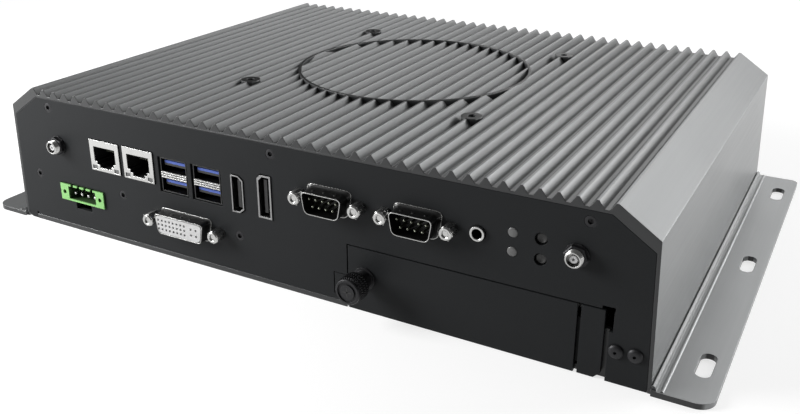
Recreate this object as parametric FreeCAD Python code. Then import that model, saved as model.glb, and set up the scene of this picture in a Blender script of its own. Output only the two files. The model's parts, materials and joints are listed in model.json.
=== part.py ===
import FreeCAD, Part
import math
import os

# Fanless industrial computer with a finned aluminium cover, an I/O panel and two mounting flanges.
# Millimetres. X runs across the front, Y runs from front to back, +Z is up.
# The origin is the middle of the underside of the base plate.

# ---------------------------------------------------------------- driving sizes
BODY_W = 280.0          # across the cover at mid height
BODY_D = 205.0          # front face to rear face
BODY_H = 62.0           # underside to the top of the round rib
FLANGE_W = 20.0         # each mounting flange
FLANGE_NOSE = 1.1       # flanges stand out in front of the panel
FLANGE_R = 6.0, 3.0     # their front and rear corners
TOE_W = 6.0             # foot of the panel at its left, in front of the base plate
PLATE_T = 2.0           # base plate
PANEL_T = 2.0           # front and rear panels
WALL_T = 2.6            # side walls of the cover at mid height
RIM_T = 1.2             # what is left of them beside a panel
SIDE_LEAN = 0.9         # they lean out by this at the foot and in by it at the shoulder
ROOF_T = 4.8            # cover roof under the fin valleys
LEDGE_T = 1.1           # metal left between a panel's top edge and the valleys
SHOULDER_W = 11.5       # least run of the sloping shoulders
SHOULDER_DROP = 9.4     # their lower edge, under the top
SHOULDER_T = 4.0        # thickness of the sloping shoulder
FIN_PITCH = 6.1
FIN_H = 2.7
TIP_W = 0.9
VALLEY_W = 1.4
RIB_R = 52.0            # middle of the round rib across the fins
RIB_W = 1.2
RIB_RISE = 0.2          # the rib and the bosses over the fin tips
FAN_PITCH = 105.0       # four screw points for an accessory on the roof
FAN_Y = 4.5             # their centre, behind the middle of the body
FAN_HOLE_R = 1.65
FAN_HOLE_T = 5.5
BOSS_R = 4.2
SLOT_PITCH = 81.0       # flange slots
SLOT_L = 15.0
SLOT_W = 5.2
SLOT_OUT = 13.3         # slots from the side of the cover

FIT = 0.1               # gap between parts that are assembled and stay put
HOLE_FIT = 0.3          # gap around a connector in its panel hole
MOVE_FIT = 0.3          # gap around a moving button

YF = -BODY_D / 2        # front face
YR = BODY_D / 2         # rear face
YPI = YF + PANEL_T      # inner face of the front panel
YRI = YR - PANEL_T
HALF = BODY_W / 2
INSIDE = HALF - WALL_T
EDGE = HALF + FLANGE_W
SLOT_X = HALF + SLOT_OUT
TOE_X = HALF - TOE_W
FOOT_X = HALF + SIDE_LEAN
HEAD_X = HALF - SIDE_LEAN
SEAT_X = FOOT_X - RIM_T  # a panel's seat in the side wall, at the foot
TIP_Z = BODY_H - RIB_RISE
VALLEY_Z = TIP_Z - FIN_H
ROOF_Z = VALLEY_Z - ROOF_T
PANEL_TOP = VALLEY_Z - LEDGE_T
SHOULDER_Z = BODY_H - SHOULDER_DROP
FIN_COUNT = int((BODY_W - 2 * SHOULDER_W - TIP_W) / FIN_PITCH) + 1
TIP_X = FIN_PITCH * (FIN_COUNT - 1) / 2

# boards, placed from the middle of the height
BOARD_T = 1.6
BOARD_GAP = 12.6        # between the two boards
BOARD_DROP = 4.4        # top of the mainboard under the middle of the height
BOARD_EDGE = 4.0        # from a board's side edge to the side of the cover
BOARD_FRONT = 2.2       # from the panel's inner face
MAIN_Z = BODY_H / 2 - BOARD_DROP
LOW_Z = MAIN_Z - BOARD_T - BOARD_GAP
MAIN_BACK = YR - 35.5
LOW_BACK = YF + 99.5

# drive bay at the right of the panel
BAY_OUT = 14.0          # from the bay opening to the side of the cover
BAY_W = 96.6
BAY_X1 = HALF - BAY_OUT
BAY_X0 = BAY_X1 - BAY_W
BAY_TOP = MAIN_Z - 0.7
DOOR_W = 85.5
DOOR_GAP = 0.5
DOOR_T = 1.5
DOOR_X0 = BAY_X0 + DOOR_GAP
DOOR_X1 = DOOR_X0 + DOOR_W
DOOR_Z0 = 0.2
DOOR_Z1 = BAY_TOP - DOOR_GAP
DOOR_TAB_W, DOOR_TAB_H, DOOR_TAB_Z = 5.9, 8.2, 9.0
STRIP_W, STRIP_GAP = 7.7, 1.3
STRIP_X0 = DOOR_X1 + STRIP_GAP
STRIP_X1 = STRIP_X0 + STRIP_W
SHEET_T = 1.2           # tray and cage
TRAY_X0 = DOOR_X0 + 2.5
TRAY_X1 = DOOR_X1 - 1.8
CAGE_X0, CAGE_X1 = BAY_X0 + 1.2, BAY_X1 - 3.1
CAGE_Z1 = BAY_TOP - 2.6
DRIVE_W, DRIVE_L, DRIVE_H = 69.8, 100.2, 7.0
DRIVE_X = (TRAY_X0 + TRAY_X1) / 2
DRIVE_Y0 = YF + 8.5
DRIVE_HOLE_X, DRIVE_HOLE_Y = 30.86, (14.0, 90.6)
DRIVE_HOLES = tuple((DRIVE_X + s * DRIVE_HOLE_X, DRIVE_Y0 + d) for s in (-1, 1) for d in DRIVE_HOLE_Y)
CAGE_Y1 = DRIVE_Y0 + DRIVE_L + 5.8
THUMB = (DOOR_X0 + 6.8, (DOOR_Z0 + DOOR_Z1) / 2 + 1.0)
THUMB_R = 2.0


def upper(x, rise):
    """A point of the upper row of ports, by its height above the mainboard."""
    return (x, MAIN_Z + rise)


def lower(x, rise):
    return (x, LOW_Z + rise)


# panel features, as x and z on the front face
LAN = (upper(-86.8, 11.2), upper(-68.5, 11.2))
LAN_W, LAN_H = 16.0, 13.4
USB = (upper(-50.5, 9.4), upper(-33.8, 9.4))
USB_W, USB_H = 13.2, 14.4
HDMI = upper(-18.7, 8.7)
HDMI_W, HDMI_H = 5.6, 15.2
DPORT = upper(-6.0, 10.1)
DPORT_W, DPORT_H = 6.2, 17.4
COM = (upper(22.7, 14.6), upper(58.1, 14.6))
COM_W, COM_H = 16.9, 8.4
COM_JACK = 12.5
COM_FLANGE_W, COM_FLANGE_H = 30.8, 12.4
DVI = lower(-45.7, 4.1)
DVI_W, DVI_H = 24.6, 8.4
DVI_JACK = 16.65
DVI_FLANGE_W, DVI_FLANGE_H = 40.8, 10.8
TERM = lower(-HALF + 37.1, 5.0)
TERM_W, TERM_H = 25.0, 7.4
TERM_PITCH = 3.81
AUDIO = upper(80.3, 15.3)
AUDIO_R = 1.8
AUDIO_RING = 2.7
LEDS = (upper(92.4, 18.3), upper(92.4, 11.5))
LED_R = 1.7
BUTTONS = (upper(102.0, 18.2), upper(102.1, 11.0))
BUTTON_R = 1.9
ANTENNAS = (upper(-113.85, 11.6), upper(113.9, 15.5))
ANT_R = 3.0             # over the thread of the free end
ANT_ROOT_R = 2.8        # thread root, under the nut
ANT_OUT = 4.2
NUT_AF = 7.0
NUT_T, WASHER_T = 1.6, 0.5

# screws
SCREW_R = 1.15
TAP_R = 1.25
HEAD_R = 2.0
SINK_T = 1.2            # depth of a flat head
SOCKET_R = 0.8          # driver socket in it
SCREW_GAP = TERM[0] + TERM_W / 2, DVI[0] - DVI_FLANGE_W / 2
TOP_SCREWS = (-HALF + 22.7, -2.6, HALF - 22.7)
TOP_SCREW_Z = PANEL_TOP - 3.7
TAB_SCREWS = (upper(-HALF + 11.8, -3.8),
              upper(SCREW_GAP[0] + 0.457 * (SCREW_GAP[1] - SCREW_GAP[0]), -4.3),
              lower(-19.2, 5.2))
FOOT_SCREWS = ((HALF - 11.2, 11.9), (HALF - 5.0, 12.2))
REAR_SCREWS = ((-HALF + 12.5, 14.0), (HALF - 12.5, 14.0))

# posts, as x and y
SHORT_POSTS = tuple((x, y) for y in (YF + 14.5, LOW_BACK - 5.0)
                    for x in (-HALF + 2 * BOARD_EDGE, BAY_X0 - 7.4))
TALL_POSTS = ((-HALF + 2 * BOARD_EDGE, MAIN_BACK - 5.0), (BAY_X0 - 7.4, MAIN_BACK - 5.0),
              (HALF - 9.0, YF + 22.5), (HALF - 9.0, MAIN_BACK - 5.0))
MAIN_POSTS = SHORT_POSTS + TALL_POSTS
POST_AF = 5.5           # hexagon posts, across flats
PRESS_R = 1.6           # press stub of a post in the base plate


# ---------------------------------------------------------------- helpers
def V(x, y, z):
    return FreeCAD.Vector(x, y, z)


def box(x0, x1, y0, y1, z0, z1):
    return Part.makeBox(x1 - x0, y1 - y0, z1 - z0, V(x0, y0, z0))


def rod_y(r, x, z, y0, y1):
    return Part.makeCylinder(r, y1 - y0, V(x, y0, z), V(0, 1, 0))


def rod_z(r, x, y, z0, z1):
    return Part.makeCylinder(r, z1 - z0, V(x, y, z0), V(0, 0, 1))


def plate_y(points, y0, y1):
    """A flat plate with its outline in X and Z, from y0 to y1."""
    wire = Part.makePolygon([V(x, y0, z) for x, z in points + points[:1]])
    return Part.Face(wire).extrude(V(0, y1 - y0, 0))


def plate_z(points, z0, z1):
    wire = Part.makePolygon([V(x, y, z0) for x, y in points + points[:1]])
    return Part.Face(wire).extrude(V(0, 0, z1 - z0))


def ring(r, x, z, sides, turn=0.0):
    """Corners of a regular outline."""
    step = 360.0 / sides
    angles = [math.radians(turn + step * (k + 0.5)) for k in range(sides)]
    return [(x + r * math.cos(a), z + r * math.sin(a)) for a in angles]


# Screws, posts and their holes repeat many times, so their round parts have flat sides.
def peg_y(r, x, z, y0, y1, sides=8):
    return plate_y(ring(r, x, z, sides), y0, y1)


def peg_z(r, x, y, z0, z1, sides=8):
    return plate_z(ring(r, x, y, sides), z0, z1)


def taper_y(r0, r1, x, z, y0, y1, sides=8):
    """The same with its radius running from r0 to r1."""
    a = [V(px, y0, pz) for px, pz in ring(r0, x, z, sides)]
    b = [V(px, y1, pz) for px, pz in ring(r1, x, z, sides)]
    loops = [a + a[:1], b + b[:1]]
    for k in range(sides):
        loops.append([a[k - 1], a[k], b[k], b[k - 1], a[k - 1]])
    shell = Part.makeShell([Part.Face(Part.makePolygon(points)) for points in loops])
    solid = Part.makeSolid(shell)
    if solid.Volume < 0:
        solid.reverse()
    return solid


def hex_y(across, x, z, y0, y1):
    return plate_y(ring(across / math.sqrt(3.0), x, z, 6), y0, y1)


def fuse(shapes):
    first = shapes[0]
    return first.multiFuse(shapes[1:]).removeSplitter() if len(shapes) > 1 else first


def cut(shape, tools):
    return shape.cut(Part.makeCompound(tools)) if tools else shape


def slot_z(x, y, z0, z1, end=rod_z):
    """A mounting slot that runs along Y."""
    r = SLOT_W / 2
    half = SLOT_L / 2 - r
    body = box(x - r, x + r, y - half, y + half, z0, z1)
    return fuse([body, end(r, x, y - half, z0, z1), end(r, x, y + half, z0, z1)])


def panel_outline(foot, head, inset, top, bottom):
    """A section inside the cover. Its sides run from x = foot at the base plate to x = head at the
    height of the shoulder's lower edge, and its shoulders lie under the outer ones by inset."""
    dx, dz = HEAD_X - TIP_X - TIP_W / 2, TIP_Z - SHOULDER_Z
    length = math.hypot(dx, dz)
    px, pz = HEAD_X - inset * dz / length, SHOULDER_Z - inset * dx / length
    lean = (head - foot) / (SHOULDER_Z - PLATE_T)
    run = dx / dz
    z = (px + run * pz - foot + lean * PLATE_T) / (lean + run)
    side, base = foot + lean * (z - PLATE_T), foot + lean * (bottom - PLATE_T)
    x = px - (top - pz) * run
    return [(-base, bottom), (-side, z), (-x, top), (x, top), (side, z), (base, bottom)]


def seat_outline(gap, top, bottom):
    """Outline of a panel in its seat in the cover's end."""
    return panel_outline(SEAT_X - gap, HEAD_X - RIM_T - gap, SHOULDER_T + gap, top, bottom)


# ---------------------------------------------------------------- cover
def fin_outline():
    """Outside of the cover's section, from the lower left to the lower right corner."""
    points = [(-FOOT_X, PLATE_T), (-HEAD_X, SHOULDER_Z)]
    for k in range(FIN_COUNT):
        x = -TIP_X + k * FIN_PITCH
        points += [(x - TIP_W / 2, TIP_Z), (x + TIP_W / 2, TIP_Z)]
        if k < FIN_COUNT - 1:
            mid = x + FIN_PITCH / 2
            points += [(mid - VALLEY_W / 2, VALLEY_Z), (mid + VALLEY_W / 2, VALLEY_Z)]
    return points + [(HEAD_X, SHOULDER_Z), (FOOT_X, PLATE_T)]


def boss_spots():
    half = FAN_PITCH / 2
    return [(sx * half, FAN_Y + sy * half) for sx in (-1, 1) for sy in (-1, 1)]


def finned_cover():
    """Cover with a round rib and four bosses across its fins, for a fan or another accessory."""
    inner = panel_outline(INSIDE, INSIDE, SHOULDER_T, ROOF_Z, PLATE_T)
    body = plate_y(fin_outline() + inner[::-1], YF, YR)
    channels = [peg_y(3.6, x, TOP_SCREW_Z, YF, YR) for x in TOP_SCREWS]
    floor = VALLEY_Z - 0.5
    rib = peg_z(RIB_R + RIB_W / 2, 0, FAN_Y, floor, BODY_H, 40)
    rib = rib.cut(peg_z(RIB_R - RIB_W / 2, 0, FAN_Y, floor - 1, BODY_H + 1, 40))
    bosses = [peg_z(BOSS_R, x, y, floor, BODY_H, 12) for x, y in boss_spots()]
    body = fuse([body] + channels + [rib] + bosses)
    pocket = seat_outline(0.0, PANEL_TOP + FIT, PLATE_T)
    tools = [plate_y(pocket, YF - 1, YPI), plate_y(pocket, YRI, YR + 1)]
    tools += [peg_y(TAP_R, x, TOP_SCREW_Z, YF - 1, YR + 1) for x in TOP_SCREWS]
    tools += [rod_z(FAN_HOLE_R, x, y, BODY_H - FAN_HOLE_T, BODY_H + 1) for x, y in boss_spots()]
    return cut(body, tools)


# ---------------------------------------------------------------- base and panels
def base_outline():
    """Seen from above. The plate leaves room for the panel's two feet and for the bay's door."""
    nose = YF - FLANGE_NOSE
    wall = FOOT_X + FIT
    lip_end = BAY_X0 - 0.4
    seat = YPI + FIT
    return [(-EDGE, nose), (-wall, nose), (-wall, YF), (-SEAT_X, YF), (-SEAT_X, seat), (-TOE_X, seat),
            (-TOE_X, YF), (lip_end, YF), (lip_end, seat), (SEAT_X, seat), (SEAT_X, YF), (wall, YF),
            (wall, nose), (EDGE, nose), (EDGE, YR), (-EDGE, YR)]


def flange_bead(side):
    """A bead where the flange leaves the cover, with a low step beside it."""
    x0 = FOOT_X + FIT
    profile = ((0.0, -0.5), (0.0, 1.2), (0.4, 1.6), (1.1, 1.3), (1.6, 0.0), (2.7, 0.0), (3.0, 0.3),
               (3.6, 0.3), (3.9, 0.0), (3.9, -0.5))
    return plate_y([(side * (x0 + dx), PLATE_T + dz) for dx, dz in profile], YF - 0.4, YR)


def panel_tabs():
    """Upright tabs that take the lower panel screws."""
    y0 = YPI + FIT
    tabs = [box(x - w, x + w, y0, y0 + 1.5, PLATE_T - 0.5, z + up)
            for (x, z), w, up in zip(TAB_SCREWS, (3.5, 4.3, 4.3), (2.2, 2.2, 4.4))]
    tabs.append(box(FOOT_SCREWS[0][0] - 5.6, FOOT_SCREWS[1][0] + 2.2, y0, y0 + 1.5, PLATE_T - 0.5, 18.0))
    y1 = YRI - FIT
    tabs += [box(x - 7.5, x + 7.5, y1 - 1.5, y1, PLATE_T - 0.5, z + 8.0) for x, z in REAR_SCREWS]
    return tabs


def base_plate():
    plate = plate_z(base_outline(), 0, PLATE_T)
    for r, front in zip(FLANGE_R, (True, False)):
        corners = [e for e in plate.Edges
                   if e.BoundBox.ZLength > 1 and abs(abs(e.Vertexes[0].Point.x) - EDGE) < 1e-6
                   and (e.Vertexes[0].Point.y < 0) == front]
        plate = plate.makeFillet(r, corners)
    body = fuse([plate, flange_bead(-1), flange_bead(1)] + panel_tabs())
    tools = [slot_z(s * SLOT_X, k * SLOT_PITCH, -1, PLATE_T + 1) for s in (-1, 1) for k in (-1, 1)]
    tools += [slot_z(s * SLOT_X, 0, -1, PLATE_T + 1, peg_z) for s in (-1, 1)]
    tools += [peg_y(TAP_R, x, z, YPI, YPI + 3) for x, z in TAB_SCREWS + FOOT_SCREWS]
    tools += [peg_y(TAP_R, x, z, YRI - 3, YRI) for x, z in REAR_SCREWS]
    tools += [peg_z(PRESS_R, x, y, -1, PLATE_T + 1, 6) for x, y in SHORT_POSTS + TALL_POSTS]
    return cut(body, tools)


def d_outline(centre, w, h, grow=0.0, r=2.2):
    """A D-shaped connector outline, wide side up, with rounded corners."""
    w, h = w + 2 * grow, h + 2 * grow
    lean = h * math.tan(math.radians(10.0))
    raw = [(-w / 2 + lean, -h / 2), (-w / 2, h / 2), (w / 2, h / 2), (w / 2 - lean, -h / 2)]
    out = []
    for i, p in enumerate(raw):
        legs = []
        for q in (raw[i - 1], raw[(i + 1) % 4]):
            length = math.hypot(q[0] - p[0], q[1] - p[1])
            legs.append(((q[0] - p[0]) * r / length, (q[1] - p[1]) * r / length))
        for t in (0.0, 0.5, 1.0):
            a, b = (1 - t) ** 2, t ** 2
            out.append((centre[0] + p[0] + legs[0][0] * a + legs[1][0] * b,
                        centre[1] + p[1] + legs[0][1] * a + legs[1][1] * b))
    return out


def at(points, centre):
    return [(centre[0] + px, centre[1] + pz) for px, pz in points]


def hdmi_outline(grow=0.0):
    """Upright outline: flat on the left, bevelled on the right."""
    w, h = HDMI_W / 2 + grow, HDMI_H / 2 + grow
    return at([(-w, -h), (-w, h), (w * 0.25, h), (w, h - 1.6), (w, -h + 1.6), (w * 0.25, -h)], HDMI)


def dport_outline(grow=0.0):
    """Upright outline with one bevelled corner."""
    w, h = DPORT_W / 2 + grow, DPORT_H / 2 + grow
    return at([(-w, -h), (-w, h - 1.7), (-w + 1.7, h), (w, h), (w, -h)], DPORT)


def sunk_hole(x, z, front=True):
    """Countersunk hole through a panel."""
    big, small = HEAD_R + FIT, SCREW_R + 0.15
    if front:
        return taper_y(big, small, x, z, YF - 1e-3, YPI)
    return taper_y(small, big, x, z, YRI, YR + 1e-3)


def port_holes():
    """The openings of the front panel around its ports."""
    t0, t1 = YF - 1, YPI + 1
    tools = []
    for (x, z), w, h in [(p, LAN_W, LAN_H) for p in LAN] + [(TERM, TERM_W, TERM_H)]:
        w, h = w / 2 + HOLE_FIT, h / 2 + HOLE_FIT
        tools.append(box(x - w, x + w, t0, t1, z - h, z + h))
    for x, z in USB:
        h = USB_H / 2 + HOLE_FIT
        tools.append(box(x - USB_W / 2 - 0.9, x + USB_W / 2 + 0.7, t0, t1, z - h, z + h))
    outlines = [hdmi_outline(HOLE_FIT), dport_outline(HOLE_FIT), d_outline(DVI, DVI_W, DVI_H, 0.7, 1.8)]
    outlines += [d_outline(c, COM_W, COM_H, 1.1) for c in COM]
    tools += [plate_y(points, t0, t1) for points in outlines]
    tools += [peg_y(1.75, x, z, t0, t1) for x, z in jack_spots()]
    x, z = TERM
    tools.append(box(x - 5.0, x + 4.1, t0, t1, z - 7.2, z))
    tools.append(peg_y(AUDIO_RING + 0.2, AUDIO[0], AUDIO[1], t0, t1, 12))
    tools += [peg_y(LED_R + FIT, x, z, t0, t1, 12) for x, z in LEDS]
    tools += [peg_y(BUTTON_R + MOVE_FIT, x, z, t0, t1, 12) for x, z in BUTTONS]
    tools += [peg_y(ANT_ROOT_R + FIT, x, z, t0, t1, 12) for x, z in ANTENNAS]
    return tools


def front_panel():
    side = SEAT_X - FIT
    body = plate_y(seat_outline(FIT, PANEL_TOP, PLATE_T + FIT), YF, YPI)
    toe = [(-side, PLATE_T + 1), (-side, 2.6), (-side + 0.8, 0.9), (-side + 2.6, FIT),
           (-TOE_X - FIT, FIT), (-TOE_X - FIT, PLATE_T + 1)]
    body = fuse([body, plate_y(toe, YF, YPI), box(BAY_X1, side, YF, YPI, FIT, PLATE_T + 1)])
    t0, t1 = YF - 1, YPI + 1
    tools = port_holes()
    tools.append(box(-TOE_X - FIT, -TOE_X + 0.9, t0, t1, 0, PLATE_T + 1.3))
    tools.append(box(BAY_X0, BAY_X1, t0, t1, -1, BAY_TOP))
    tools.append(box(BAY_X1 - 0.5, BAY_X1 + 1.3, t0, t1, BAY_TOP - 7.6, BAY_TOP))
    tools.append(box(BAY_X1 - 2.7, BAY_X1 + 1.5, t0, t1, BAY_TOP - 0.5, BAY_TOP + 1.1))
    tab = DOOR_TAB_H / 2 + HOLE_FIT
    tools.append(box(DOOR_X0 - DOOR_TAB_W - 0.4, BAY_X0 + 1, t0, t1, DOOR_TAB_Z - tab, DOOR_TAB_Z + tab))
    tools += [sunk_hole(x, TOP_SCREW_Z) for x in TOP_SCREWS]
    tools += [sunk_hole(x, z) for x, z in TAB_SCREWS]
    tools += [peg_y(1.6, x, z, t0, t1) for x, z in FOOT_SCREWS]
    return cut(body, tools)


def flat_screw(x, z, length, front=True):
    """Flat-head screw whose head lies just under the panel's face."""
    if front:
        y0 = YF + 0.05
        screw = fuse([taper_y(HEAD_R, SCREW_R, x, z, y0, y0 + SINK_T), peg_y(SCREW_R, x, z, y0 + 1, y0 + length)])
        return screw.cut(peg_y(SOCKET_R, x, z, y0 - 1, y0 + 0.7, 6))
    y1 = YR - 0.05
    screw = fuse([taper_y(SCREW_R, HEAD_R, x, z, y1 - SINK_T, y1), peg_y(SCREW_R, x, z, y1 - length, y1 - 1)])
    return screw.cut(peg_y(SOCKET_R, x, z, y1 - 0.7, y1 + 1, 6))


def panel_screws():
    spots = [(x, TOP_SCREW_Z, 9.0) for x in TOP_SCREWS] + [(x, z, 3.5) for x, z in TAB_SCREWS]
    return Part.makeCompound([flat_screw(x, z, length) for x, z, length in spots])


def rear_screws():
    spots = [(x, TOP_SCREW_Z, 9.0) for x in TOP_SCREWS] + [(x, z, 3.5) for x, z in REAR_SCREWS]
    return Part.makeCompound([flat_screw(x, z, length, False) for x, z, length in spots])


def cross(x, z, y0, y1, reach, half):
    """Cutter for a cross recess."""
    return [box(x - reach, x + reach, y0, y1, z - half, z + half),
            box(x - half, x + half, y0, y1, z - reach, z + reach)]


def foot_screws():
    out = []
    for x, z in FOOT_SCREWS:
        rim = taper_y(1.9, 2.5, x, z, YF - 1.3, YF - 0.7, 12)
        head = peg_y(2.5, x, z, YF - 0.7, YF, 12)
        screw = fuse([rim, head, peg_y(SCREW_R, x, z, YF - 0.5, YF + 3.6, 6)])
        out.append(cut(screw, cross(x, z, YF - 2, YF - 0.6, 1.2, 0.25)))
    return Part.makeCompound(out)


def rear_panel():
    outline = seat_outline(FIT, PANEL_TOP, PLATE_T + FIT)
    tools = [sunk_hole(x, TOP_SCREW_Z, False) for x in TOP_SCREWS]
    tools += [sunk_hole(x, z, False) for x, z in REAR_SCREWS]
    return cut(plate_y(outline, YRI, YR), tools)


# ---------------------------------------------------------------- drive bay
def bay_door():
    """Sheet door with a tab under the panel's edge and a lip over the tray."""
    body = box(DOOR_X0, DOOR_X1, YF, YF + DOOR_T, DOOR_Z0, DOOR_Z1)
    tab = box(DOOR_X0 - DOOR_TAB_W, DOOR_X0 + 1, YF, YF + DOOR_T,
              DOOR_TAB_Z - DOOR_TAB_H / 2, DOOR_TAB_Z + DOOR_TAB_H / 2)
    lip = box(DOOR_X0 + 0.8, DOOR_X1 - 0.8, YF + 1.0, YF + 7.0, DOOR_Z1 - 1.6, DOOR_Z1 - 0.4)
    return fuse([body, tab, lip]).cut(peg_y(THUMB_R + 0.2, THUMB[0], THUMB[1], YF - 1, YF + 4, 12))


def thumb_screw():
    """Knurled thumb screw: its rim is one toothed outline."""
    x, z = THUMB
    face = YF - 12.0
    teeth = 16
    outer, inner = ring(5.3, x, z, teeth), ring(4.85, x, z, teeth, 180.0 / teeth)
    knurl = [point for pair in zip(outer, inner) for point in pair]
    head = plate_y(knurl, face + 0.8, face + 6.8)
    caps = [peg_y(4.8, x, z, face, face + 1.0, 12), peg_y(4.8, x, z, face + 6.5, face + 7.5, 12)]
    neck = peg_y(3.4, x, z, face + 7.2, YF - 0.5, 12)
    washer = peg_y(4.4, x, z, YF - 0.6, YF, 12)
    shank = peg_y(THUMB_R, x, z, YF - 0.1, YF + 9.0)
    body = fuse([head] + caps + [neck, washer, shank])
    groove = peg_y(3.9, x, z, face - 1, face + 0.5, 12).cut(peg_y(2.9, x, z, face - 2, face + 1, 12))
    return cut(body, [groove] + cross(x, z, face - 1, face + 1.4, 2.2, 0.5))


def drive_cage():
    """Folded sheet that guides the tray: a roof, two walls, a back and a foot."""
    t = SHEET_T
    y0 = YPI + 2.0
    roof = box(CAGE_X0, CAGE_X1, y0, CAGE_Y1, CAGE_Z1 - t, CAGE_Z1)
    walls = [box(x, x + t, y0, CAGE_Y1, PLATE_T, CAGE_Z1) for x in (CAGE_X0, CAGE_X1 - t)]
    back = box(CAGE_X0, CAGE_X1, CAGE_Y1 - t, CAGE_Y1, PLATE_T, CAGE_Z1)
    foot = box(CAGE_X1 - t, CAGE_X1 + 8, YF + 32.5, CAGE_Y1, PLATE_T, PLATE_T + t)
    body = fuse([roof] + walls + [back, foot])
    tools = [box(DRIVE_X - 28, DRIVE_X + 27, CAGE_Y1 - 3, CAGE_Y1 + 1, 6.0, 14.0)]
    for k in range(3):
        x = DRIVE_X - 25.0 + 20.0 * k
        tools.append(box(x, x + 10.0, YF + 20, DRIVE_Y0 + DRIVE_L - 15, CAGE_Z1 - 3, CAGE_Z1 + 1))
    return cut(body, tools)


def drive_tray():
    """Tray under the drive, with its front turned out beside the door as a narrow strip."""
    t = SHEET_T
    y0, y1 = YF + 5.8, DRIVE_Y0 + DRIVE_L - 0.2
    z0, z1 = PLATE_T + 0.5, 16.5
    front = YF + 1.6
    floor = box(TRAY_X0, TRAY_X1, y0, y1, z0, z0 + t)
    sides = [box(x, x + t, y0, y1, PLATE_T, z1) for x in (TRAY_X0, TRAY_X1 - t)]
    arm = box(TRAY_X1 - t, TRAY_X1, front, y0 + 1, z0, z1)
    ear = box(TRAY_X1 - t, STRIP_X0 + 2.3, front, front + t, 3.4, DOOR_Z1 - 5.4)
    strip = box(STRIP_X0, STRIP_X1, YF, front, DOOR_Z0, DOOR_Z1)
    corner = [e for e in strip.Edges if e.BoundBox.YLength > 1 and e.BoundBox.XMin > STRIP_X0 + 1
              and e.BoundBox.ZMax < 10]
    strip = strip.makeChamfer(2.2, corner)
    x, z = THUMB
    lug = box(TRAY_X0, TRAY_X0 + 11.0, front + 0.2, y0 + t, z - 5.5, z + 5.5)
    post = box(TRAY_X0, TRAY_X0 + 6.0, y0, y0 + t, z0, z)
    body = fuse([floor] + sides + [arm, ear, strip, lug, post])
    tools = [peg_y(THUMB_R + FIT, x, z, YF, YF + 12)]
    tools += [peg_z(SCREW_R + 0.4, x, y, z0 - 1, z0 + t + 1, 6) for x, y in DRIVE_HOLES]
    return cut(body, tools)


def storage_drive():
    z0 = PLATE_T + 0.5 + SHEET_T
    body = box(DRIVE_X - DRIVE_W / 2, DRIVE_X + DRIVE_W / 2, DRIVE_Y0, DRIVE_Y0 + DRIVE_L, z0, z0 + DRIVE_H)
    body = body.makeChamfer(0.6, [e for e in body.Edges if e.BoundBox.ZLength > DRIVE_H - 0.5])
    tools = [peg_z(TAP_R, x, y, z0 - 1, z0 + 3, 6) for x, y in DRIVE_HOLES]
    tools.append(box(DRIVE_X - 22, DRIVE_X + 14, DRIVE_Y0 + DRIVE_L - 6, DRIVE_Y0 + DRIVE_L + 1,
                     z0 + 1.5, z0 + 5.0))
    return cut(body, tools)


def drive_screws():
    z0 = PLATE_T + 0.5
    return Part.makeCompound([fuse([peg_z(2.3, x, y, z0 - 0.45, z0), peg_z(SCREW_R, x, y, z0 - 0.1, z0 + 4.0, 6)])
                              for x, y in DRIVE_HOLES])


# ---------------------------------------------------------------- boards and supports
def power_board():
    body = box(-HALF + BOARD_EDGE, BAY_X0 - 3.4, YPI + BOARD_FRONT, LOW_BACK, LOW_Z - BOARD_T, LOW_Z)
    return cut(body, [peg_z(SCREW_R + 0.5, x, y, LOW_Z - 5, LOW_Z + 5, 6) for x, y in SHORT_POSTS])


def mainboard():
    body = box(-HALF + BOARD_EDGE, HALF - BOARD_EDGE, YPI + BOARD_FRONT, MAIN_BACK, MAIN_Z - BOARD_T, MAIN_Z)
    return cut(body, [peg_z(SCREW_R + 0.5, x, y, MAIN_Z - 5, MAIN_Z + 5, 6) for x, y in MAIN_POSTS])


def post(x, y, z0, z1, stub_r, stub_l):
    """Hexagon post with a stub below and a tapped hole above."""
    body = plate_z(ring(POST_AF / math.sqrt(3.0), x, y, 6), z0, z1)
    body = fuse([body, peg_z(stub_r, x, y, z0 - stub_l, z0 + 1, 6)])
    return body.cut(peg_z(TAP_R, x, y, z1 - 5.2, z1 + 1, 6))


def short_posts():
    return Part.makeCompound([post(x, y, PLATE_T, LOW_Z - BOARD_T, PRESS_R, PLATE_T) for x, y in SHORT_POSTS])


def board_spacers():
    return Part.makeCompound([post(x, y, LOW_Z, MAIN_Z - BOARD_T, SCREW_R, 5.5) for x, y in SHORT_POSTS])


def tall_posts():
    return Part.makeCompound([post(x, y, PLATE_T, MAIN_Z - BOARD_T, PRESS_R, PLATE_T) for x, y in TALL_POSTS])


def board_screws():
    heads = [peg_z(2.7, x, y, MAIN_Z, MAIN_Z + 1.8, 6) for x, y in MAIN_POSTS]
    shanks = [peg_z(SCREW_R, x, y, MAIN_Z - 5, MAIN_Z + 0.5, 6) for x, y in MAIN_POSTS]
    return Part.makeCompound([fuse([head, shank]) for head, shank in zip(heads, shanks)])


CPU_X, CPU_Y = BAY_X0 - 29.4, 8.0
CPU_LID = 14.0
CPU_H, PAD_T = 3.4, 1.0


def processor():
    """Soldered processor: a carrier with a lid."""
    lid = box(CPU_X - CPU_LID, CPU_X + CPU_LID, CPU_Y - CPU_LID, CPU_Y + CPU_LID, MAIN_Z + 1.2, MAIN_Z + CPU_H)
    base = box(CPU_X - 18.7, CPU_X + 18.7, CPU_Y - 18.7, CPU_Y + 18.7, MAIN_Z, MAIN_Z + 1.3)
    lid = lid.makeChamfer(0.8, [e for e in lid.Edges if e.BoundBox.ZLength > 2.0])
    return fuse([base, lid])


def thermal_pad():
    z0 = MAIN_Z + CPU_H
    return box(CPU_X - CPU_LID, CPU_X + CPU_LID, CPU_Y - CPU_LID, CPU_Y + CPU_LID, z0, z0 + PAD_T)


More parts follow.
